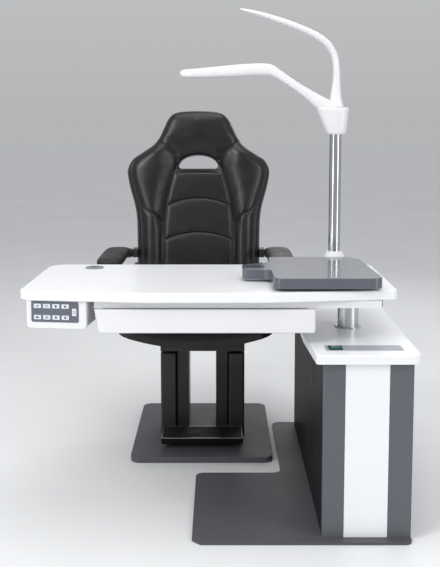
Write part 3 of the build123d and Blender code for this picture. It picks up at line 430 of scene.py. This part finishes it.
# ======================================================================
# Keypad symbols
# ======================================================================
BOX_TURN = math.radians(-6.8)
BOX_ALONG = np.array([math.cos(BOX_TURN), math.sin(BOX_TURN), 0])
BOX_OUT = np.array([math.sin(BOX_TURN), -math.cos(BOX_TURN), 0])
ICON_RISE, ICON_SUNK = 0.25, 0.6
KEY_DEPTH = 9


def ring_outline(radius, count=20):
    turn = np.linspace(0, 2 * math.pi, count, endpoint=False)
    return [(radius * math.cos(t), radius * math.sin(t)) for t in turn]


def bar(width, height, x=0.0, y=0.0):
    w, h = width / 2, height / 2
    return [(x - w, y - h), (x + w, y - h), (x + w, y + h), (x - w, y + h)]


UP_ARROW = [(-4.2, -0.6), (0, 4.2), (4.2, -0.6), (1.6, -0.6), (1.6, -4.2), (-1.6, -4.2),
            (-1.6, -0.6)]
DOWN_ARROW = [(x, -y) for x, y in reversed(UP_ARROW)]
ICONS = {
    "key_lamp": [ring_outline(2.4), bar(1.0, 2.0, -4.6, 0), bar(1.0, 2.0, 4.6, 0),
                 bar(2.6, 1.0, 0, -4)],
    "key_aux": [bar(9, 1.1, 0, 2.6), bar(9, 1.1, 0, -2.6), bar(1.1, 4.2, -4, 0),
                bar(1.1, 4.2, 4, 0)],
    "key_table_up": [UP_ARROW],
    "key_chair_up": [UP_ARROW],
    "key_projector": [bar(7, 5, -1, 0), bar(2, 2.4, 4, 0)],
    "key_memory": [bar(1.4, 6.4, -3, 0), bar(1.4, 6.4, 0, 0), bar(1.4, 6.4, 3, 0)],
    "key_table_down": [DOWN_ARROW],
    "key_chair_down": [DOWN_ARROW],
    "key_reset": [bar(4.4, 1.2, 0, 3), bar(4.4, 1.2, 0, -3), bar(1.2, 7.2, 0, 0)],
}


def key_symbol(key):
    """Raised print on one key: flat outlines with a little thickness, on the key's face."""
    low, high = (np.array(corner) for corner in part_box(key))
    front = (low + high) / 2 + BOX_OUT * KEY_DEPTH / 2 * MM
    vertices, faces = [], []
    for outline in ICONS[key]:
        start, count = len(vertices), len(outline)
        for depth in (-ICON_SUNK, ICON_RISE):
            for x, z in outline:
                spot = front + BOX_ALONG * x * MM + BOX_OUT * depth * MM
                vertices.append(spot + np.array([0, 0, z * MM]))
        faces.append(tuple(range(start + count, start + 2 * count)))
        faces.append(tuple(range(start, start + count))[::-1])
        for k in range(count):
            m = (k + 1) % count
            faces.append((start + k, start + m, start + count + m, start + count + k))
    made = piece(key + "_symbol", vertices, faces, "icon_ink", key)
    made.data.polygons.foreach_set("use_smooth", [False] * len(made.data.polygons))


for key_name in ICONS:
    key_symbol(key_name)

# ======================================================================
# Padded pieces
# ======================================================================
VOXEL = 5.5 * MM
SIM_FRAMES = 20
PRESSURE, SWELL_CAP = 3.2, 11
SEAM_HALF = 2.4
BACK_BLANK, COVER_BLANK, SEAT_BLANK = 80.0, 14.0, 100


def evaluated_mesh(thing):
    """The mesh with its modifiers applied."""
    graph = bpy.context.evaluated_depsgraph_get()
    graph.update()
    return bpy.data.meshes.new_from_object(thing.evaluated_get(graph))


def points_of(mesh):
    co = np.zeros(len(mesh.vertices) * 3)
    mesh.vertices.foreach_get("co", co)
    return co.reshape(-1, 3)


def put_points(mesh, co):
    mesh.vertices.foreach_set("co", co.ravel())
    mesh.update()


def swap_mesh(thing, mesh):
    old = thing.data
    look = old.materials[0]
    thing.modifiers.clear()
    thing.data = mesh
    bpy.data.meshes.remove(old)
    mesh.materials.clear()
    mesh.materials.append(look)
    mesh.polygons.foreach_set("use_smooth", [True] * len(mesh.polygons))


def remeshed(thing, size):
    """Even quads all over, from a closed mesh."""
    remesh = thing.modifiers.new("remesh", "REMESH")
    remesh.mode = "VOXEL"
    remesh.voxel_size = size
    swap_mesh(thing, evaluated_mesh(thing))


def subdivided(thing):
    level = thing.modifiers.new("subdivision", "SUBSURF")
    level.levels = 1
    level.render_levels = 1
    swap_mesh(thing, evaluated_mesh(thing))


def inflate(thing, hold, pressure, cap_mm):
    """Cloth under pressure: points with hold 1 stay, the rest swell by up to a cap."""
    start = points_of(thing.data)
    group = thing.vertex_groups.new(name="hold")
    for level in np.unique(np.round(hold, 1)):
        members = np.where(np.round(hold, 1) == level)[0]
        group.add([int(i) for i in members], float(level), "REPLACE")
    cloth = thing.modifiers.new("cloth", "CLOTH")
    cloth.settings.quality = 5
    cloth.settings.mass = 0.3
    cloth.settings.tension_stiffness = 15
    cloth.settings.compression_stiffness = 15
    cloth.settings.shear_stiffness = 8
    cloth.settings.bending_stiffness = 1.0
    cloth.settings.use_pressure = True
    cloth.settings.uniform_pressure_force = pressure
    cloth.settings.vertex_group_mass = group.name
    cloth.settings.pin_stiffness = 1.0
    cloth.settings.effector_weights.gravity = 0
    cloth.collision_settings.use_collision = False
    cloth.collision_settings.use_self_collision = False
    cloth.point_cache.frame_start = 1
    cloth.point_cache.frame_end = SIM_FRAMES
    for step in range(1, SIM_FRAMES + 1):
        bpy.context.scene.frame_set(step)
    swap_mesh(thing, evaluated_mesh(thing))
    moved = points_of(thing.data) - start
    length = np.linalg.norm(moved, axis=1)
    limit = cap_mm * MM
    share = np.where(length > limit, limit / np.maximum(length, 1e-9), 1.0)
    put_points(thing.data, start + moved * share[:, None])
    bpy.context.scene.frame_set(1)


def distance_to(points, line):
    """Distance of 2-D points from a polyline."""
    best = np.full(len(points), 1e9)
    for a, b in zip(line[:-1], line[1:]):
        run = b - a
        t = np.clip(((points - a) @ run) / max(run @ run, 1e-12), 0, 1)
        best = np.minimum(best, np.linalg.norm(points - (a + t[:, None] * run), axis=1))
    return best


def inside(points, loop):
    """Whether 2-D points are inside a closed loop."""
    hit = np.zeros(len(points), bool)
    for a, b in zip(loop, np.roll(loop, -1, axis=0)):
        crosses = (a[1] > points[:, 1]) != (b[1] > points[:, 1])
        rise = b[1] - a[1] if abs(b[1] - a[1]) > 1e-12 else 1e-12
        hit ^= crosses & (points[:, 0] < (b[0] - a[0]) * (points[:, 1] - a[1]) / rise + a[0])
    return hit


def prism(name, outer, hole, low, high):
    """A closed solid between two heights over an outline with an optional hole."""
    shape = bmesh.new()
    loops = [outer] if hole is None else [outer, hole]
    edges = []
    for loop in loops:
        ring = [shape.verts.new((x, y, low)) for x, y in loop]
        edges += [shape.edges.new((a, b)) for a, b in zip(ring, ring[1:] + ring[:1])]
    bmesh.ops.triangle_fill(shape, use_beauty=True, edges=edges)
    base = list(shape.faces)
    made = bmesh.ops.extrude_face_region(shape, geom=base)
    lifted = [v for v in made["geom"] if isinstance(v, bmesh.types.BMVert)]
    bmesh.ops.translate(shape, verts=lifted, vec=(0, 0, high - low))
    bmesh.ops.recalc_face_normals(shape, faces=shape.faces)
    mesh = bpy.data.meshes.new(name)
    shape.to_mesh(mesh)
    shape.free()
    mesh.materials.append(LOOKS["leather_black"])
    thing = bpy.data.objects.new(name, mesh)
    bpy.context.scene.collection.objects.link(thing)
    return thing


# ---- the back: outline and seams in its own plane, x across and h up
SEAT_X = -493
BACK_AT = np.array([SEAT_X, 799, 500])
LEAN = math.radians(8)
BACK_X = np.array([1, 0, 0])
BACK_UP = np.array([0, math.sin(LEAN), math.cos(LEAN)])
BACK_OUT = np.array([0, -math.cos(LEAN), math.sin(LEAN)])
BACK_HALF = [
    (0, 737), (84, 732), (118, 711), (138, 672), (160, 626), (184, 598), (225, 570), (264, 542),
    (283, 510), (286, 478), (274, 418), (257, 358), (248, 300), (245, 200), (245, 110), (243, 40),
    (228, 24), (0, 22),
]
OPENING_HALF, OPENING_LOW, OPENING_HIGH = 78, 506, 555
BACK_RIM = 30
CENTRE_SEAM = [(84, 520), (93, 500), (108, 455), (121, 400), (129, 345), (134, 285), (136, 200),
               (136, 120), (136, 22)]
SIDE_SEAM = [(256, 534), (266, 506), (263, 462), (248, 408), (231, 352), (222, 300), (218, 200),
             (218, 60), (216, 22)]
BOLSTER_SEAM = [(134, 284), (158, 304), (186, 322), (212, 334), (231, 352)]
HEAD_SEAM = [(162, 614), (130, 592), (98, 566), (86, 540)]
CHANNELS = [(485, 497, 92), (354, 383, 126), (216, 245, 134)]


def back_outline():
    crown = (-BACK_HALF[1][0], BACK_HALF[1][1])
    right = smooth_path([crown, *BACK_HALF], 5)[5:]
    left = right[1:-1][::-1] * np.array([-1, 1])
    return np.vstack([right, left])


def opening_outline(grow):
    """The D-shaped neck opening, counted outward by grow."""
    half, foot, crown = OPENING_HALF + grow, OPENING_LOW - grow, OPENING_HIGH + grow
    turn = np.linspace(0, math.pi, 28)
    return np.array([(half * math.cos(t) * (1 - 0.06 * math.sin(t)),
                      foot + (crown - foot) * math.sin(t) ** 0.72) for t in turn])


def channel(side_h, peak_h, half):
    """An arched seam across the centre panel."""
    xs = np.linspace(-half, half, 21)
    return np.column_stack([xs, side_h + (peak_h - side_h) * (1 - (xs / half) ** 2)])


BACK_EDGE = back_outline()
BACK_HOLE = opening_outline(3)
SEAMS = [smooth_path(line, 6) for line in (CENTRE_SEAM, SIDE_SEAM, BOLSTER_SEAM, HEAD_SEAM)]
SEAMS += [line * np.array([-1, 1]) for line in SEAMS]
SEAMS += [channel(*heights) for heights in CHANNELS]


def ramp(value, low, high):
    """Smooth step from 0 at low to 1 at high."""
    t = np.clip((value - low) / (high - low), 0, 1)
    return t * t * (3 - 2 * t)


def back_thickness(flat):
    """How far the front stands out at each (x, h), in millimetres, before it swells."""
    x, h = np.abs(flat[:, 0]), flat[:, 1]
    inner = np.interp(h, *np.array(CENTRE_SEAM)[::-1].T[::-1])
    outer = np.interp(h, *np.array(SIDE_SEAM)[::-1].T[::-1])
    over = np.clip((x - inner) / (outer - inner), 0, 1)
    shoulder = 1 - ramp(h, 560, 625)
    bolster = (20 * ramp(over, 0, 0.55) + 11 * np.sin(math.pi * over)) * shoulder
    lumbar = 9 * np.exp(-((h - 190) / 120) ** 2) * (1 - ramp(over, 0, 0.2))
    sill = 12 * ramp(h, 482, 500) * (1 - ramp(x, 78, 100)) * (1 - ramp(h, 520, 560))
    head = 18 * ramp(h, 560, 640)
    tall = 46 + bolster - sill
    edge = np.minimum(distance_to(flat, np.vstack([BACK_EDGE, BACK_EDGE[:1]])), 60)
    hole = np.minimum(distance_to(flat, np.vstack([BACK_HOLE, BACK_HOLE[:1]])), 40)
    rounding = np.sqrt(np.clip(1 - (1 - np.minimum(edge / 44, 1)) ** 2, 0, 1))
    lip = np.sqrt(np.clip(1 - (1 - np.minimum(hole / 26, 1)) ** 2, 0, 1))
    return BACK_RIM + (tall + lumbar + head - BACK_RIM) * rounding * (0.45 + 0.55 * lip)


def to_back(flat, depth):
    """Row-frame points, in metres, from (x, h) and a depth in front of the back's plane."""
    spots = BACK_AT + flat[:, :1] * BACK_X + flat[:, 1:2] * BACK_UP + depth[:, None] * BACK_OUT
    return spots * MM


def seam_distance(flat, seams):
    return np.min([distance_to(flat, line) for line in seams], axis=0)


def groove(distance, width_mm, depth_mm):
    """A sewn groove: a narrow cut with a softer hollow round it."""
    sharp = np.exp(-(distance / width_mm) ** 2)
    soft = np.exp(-(distance / (4.2 * width_mm)) ** 2)
    return depth_mm * (0.62 * sharp + 0.38 * soft)


def back_pad():
    """The upholstered front of the back, swollen between its seams."""
    pad = prism("back_pad", BACK_EDGE * MM, BACK_HOLE * MM, 0, BACK_BLANK * MM)
    remeshed(pad, VOXEL)
    local = points_of(pad.data) / MM
    flat, share = local[:, :2], np.clip(local[:, 2] / BACK_BLANK, 0, 1)
    depth = share * back_thickness(flat)
    put_points(pad.data, to_back(flat, depth))
    near = seam_distance(flat, SEAMS)
    hold = np.maximum(1 - ramp(share, 0.10, 0.35), 1 - ramp(near, 3.0, 9.0))
    inflate(pad, hold, PRESSURE, SWELL_CAP)
    subdivided(pad)
    spots = points_of(pad.data) / MM - BACK_AT
    flat = np.column_stack([spots @ BACK_X, spots @ BACK_UP])
    depth = spots @ BACK_OUT
    front = ramp(depth, 26, 40)
    sunk = groove(seam_distance(flat, SEAMS), SEAM_HALF, 7.5) * front
    put_points(pad.data, to_back(flat, depth - sunk))
    return pad


back = back_pad()
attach(back, "chair_back")
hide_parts("back_cushion")


def back_cover():
    """The rear of the back: a stiff shell under leather, with a sewn panel down its middle."""
    cover = prism("back_cover", BACK_EDGE * MM, BACK_HOLE * MM, -COVER_BLANK * MM, 0)
    remeshed(cover, VOXEL)
    local = points_of(cover.data) / MM
    flat, share = local[:, :2], np.clip(-local[:, 2] / COVER_BLANK, 0, 1)
    edge = distance_to(flat, np.vstack([BACK_EDGE, BACK_EDGE[:1]]))
    round_off = np.sqrt(np.clip(1 - (1 - np.minimum(edge / 22, 1)) ** 2, 0, 1))
    depth = -share * (5 + 11 * round_off)
    put_points(cover.data, to_back(flat, depth))
    subdivided(cover)
    spots = points_of(cover.data) / MM - BACK_AT
    flat = np.column_stack([spots @ BACK_X, spots @ BACK_UP])
    depth = spots @ BACK_OUT
    panel = [smooth_path([(150, 40), (152, 200), (150, 330), (120, 470)], 8)]
    panel += [panel[0] * np.array([-1, 1]), np.array([(-120, 470), (0, 480), (120, 470)])]
    sunk = groove(seam_distance(flat, panel), SEAM_HALF, 4.0) * ramp(-depth, 7, 13)
    put_points(cover.data, to_back(flat, depth + sunk))
    return cover


cover = back_cover()
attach(cover, "chair_back")
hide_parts("back_shell")

# ---- the seat: a section across the seat, drawn out from front to rear
CHAIR_Y = 549
SEAT_HALF, SEAT_FRONT, SEAT_REAR, SEAT_TOP = 276, CHAIR_Y - 258, CHAIR_Y + 196, 512
SEAT_LOW, SEAT_SIDE_LOW, SEAT_POCKET = 398, 447, 400.5
SEAT_SEAM = 168
SEAT_CORNER = 44


def seat_pad():
    """The seat: side bolsters, a sewn centre with cross channels and a rounded front."""
    rounded = []
    for cx, cy, a0 in ((SEAT_HALF, SEAT_FRONT, -90), (SEAT_HALF, SEAT_REAR, 0),
                       (-SEAT_HALF, SEAT_REAR, 90), (-SEAT_HALF, SEAT_FRONT, 180)):
        inward_x = cx - math.copysign(SEAT_CORNER, cx)
        inward_y = cy + SEAT_CORNER if cy == SEAT_FRONT else cy - SEAT_CORNER
        for a in np.linspace(a0, a0 + 90, 9):
            rounded.append((inward_x + SEAT_CORNER * math.cos(math.radians(a)),
                            inward_y + SEAT_CORNER * math.sin(math.radians(a))))
    outline = np.array(rounded)
    pad = prism("seat_pad", outline * MM, None, 0, SEAT_BLANK * MM)
    remeshed(pad, VOXEL)
    local = points_of(pad.data) / MM
    flat, share = local[:, :2], np.clip(local[:, 2] / SEAT_BLANK, 0, 1)
    x, y = flat[:, 0], flat[:, 1]
    bottom = SEAT_LOW + (SEAT_SIDE_LOW - SEAT_LOW) * (x / SEAT_HALF) ** 2
    bottom = np.where((np.abs(x) < 158) & (np.abs(y - (CHAIR_Y - 2)) < 196),
                      np.maximum(bottom, SEAT_POCKET), bottom)
    bolster = ramp(np.abs(x), SEAT_SEAM - 4, SEAT_SEAM + 50)
    edge = distance_to(flat, np.vstack([outline, outline[:1]]))
    round_off = np.sqrt(np.clip(1 - (1 - np.minimum(edge / 46, 1)) ** 2, 0, 1))
    front_drop = 14 * (1 - ramp(y, SEAT_FRONT, SEAT_FRONT + 110))
    top = SEAT_TOP - 24 + 10 * bolster - front_drop * (1 - bolster * 0.4)
    rim = bottom + 26
    top = rim + (top - rim) * round_off
    height = bottom + (top - bottom) * share
    put_points(pad.data, np.column_stack([x + SEAT_X, y, height]) * MM)
    side = smooth_path([(SEAT_SEAM, SEAT_FRONT + 8), (SEAT_SEAM + 4, CHAIR_Y - 60),
                        (SEAT_SEAM - 6, SEAT_REAR)], 8)
    seams = [side, side * np.array([-1, 1])]
    for at in (-120, 0, 120):
        seams.append(np.array([(cx, CHAIR_Y + at - 16 * (1 - (cx / SEAT_SEAM) ** 2))
                               for cx in np.linspace(-SEAT_SEAM, SEAT_SEAM, 15)]))
    near = seam_distance(flat, seams)
    hold = np.maximum(1 - ramp(share, 0.15, 0.5), 1 - ramp(near, 3.0, 9.0))
    inflate(pad, hold, PRESSURE, SWELL_CAP)
    subdivided(pad)
    spots = points_of(pad.data) / MM
    flat = np.column_stack([spots[:, 0] - SEAT_X, spots[:, 1]])
    sunk = groove(seam_distance(flat, seams), SEAM_HALF, 6.5) * ramp(spots[:, 2], 466, 482)
    spots[:, 2] = np.minimum(spots[:, 2] - sunk, SEAT_TOP)
    put_points(pad.data, spots * MM)
    return pad


seat = seat_pad()
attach(seat, "chair_lift")
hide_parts("seat_cushion")

# ---- the armrests: full-width moulded pads, each on a neck below its rear end
ARM_IN, ARM_OUT, ARM_HALF_T = 263, 359, 17
ARM_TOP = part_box("armrest_left")[1][2] / MM
ARM_FRONT, ARM_REAR = CHAIR_Y - 186, CHAIR_Y + 196
ARM_PIVOT_Y, ARM_PIVOT_Z = CHAIR_Y + 250, ARM_TOP - 42
NECK_AT, NECK_HALF = 17.5, 14.5


def along_y(name, stations, power, look, body, node):
    """A skin over stations of y, x, half width, z and half height."""
    across, up = superellipse(44, power)
    rings = [np.array([(x + wide * a, y, z + tall * u) for a, u in zip(across, up)]) * MM
             for y, x, wide, z, tall in smooth_path(stations, 5)]
    vertices, faces = loft(rings)
    return piece(name, vertices, faces, look, body, (node,))


def armrest(side, end):
    """One arm: a soft pad with rounded ends, and the neck that reaches its pivot."""
    body, node = "arm_" + end, "armrest_" + end
    middle = SEAT_X + side * (ARM_IN + ARM_OUT) / 2
    half, mid_z = (ARM_OUT - ARM_IN) / 2, ARM_TOP - ARM_HALF_T
    pad = along_y("arm_pad_" + end, [
        (ARM_FRONT, middle, 10, mid_z, 3.5), (ARM_FRONT + 4, middle, 27, mid_z, 9.5),
        (ARM_FRONT + 16, middle, 40, mid_z, 14), (ARM_FRONT + 44, middle, 46.5, mid_z, 16.4),
        (ARM_FRONT + 120, middle, half, mid_z, ARM_HALF_T),
        (ARM_REAR - 130, middle, half, mid_z, ARM_HALF_T),
        (ARM_REAR - 52, middle, 46, mid_z - 2, 16.4), (ARM_REAR - 18, middle, 38, mid_z - 7, 14),
        (ARM_REAR - 4, middle, 25, mid_z - 11, 9), (ARM_REAR, middle, 10, mid_z - 12, 3.5),
    ], 2.9, "arm_pad", body, node)
    hub_x = SEAT_X + side * (ARM_IN + NECK_AT)
    along_y("arm_neck_" + end, [
        (ARM_REAR - 72, hub_x, 12, mid_z - 14, 3), (ARM_REAR - 50, hub_x, NECK_HALF, mid_z - 18, 9),
        (ARM_REAR - 10, hub_x, NECK_HALF, mid_z - 22, 13),
        (ARM_PIVOT_Y - 12, hub_x, NECK_HALF, ARM_PIVOT_Z, 15.5),
        (ARM_PIVOT_Y, hub_x, NECK_HALF, ARM_PIVOT_Z, 18.5),
        (ARM_PIVOT_Y + 12, hub_x, NECK_HALF, ARM_PIVOT_Z, 14.5),
        (ARM_PIVOT_Y + 18.5, hub_x, NECK_HALF - 1, ARM_PIVOT_Z, 4),
    ], 4.0, "arm_pad", body, node)


armrest(-1, "left")
armrest(1, "right")

# ======================================================================
# Floor
# ======================================================================
FLOOR_SIZE, FLOOR_Z = 70, -0.0005
bpy.ops.mesh.primitive_plane_add(size=FLOOR_SIZE, location=(0, 0, FLOOR_Z))
floor = bpy.context.object
floor.name = "floor"
floor_look = material("floor", (0.74, 0.75, 0.76), 0.55)
vary_roughness(floor_look, field(floor_look, "noise", 4), 0.48, 0.62)
vary_colour(floor_look, field(floor_look, "noise", 1.5), (0.72, 0.73, 0.74), (0.76, 0.77, 0.78))
floor.data.materials.append(floor_look)
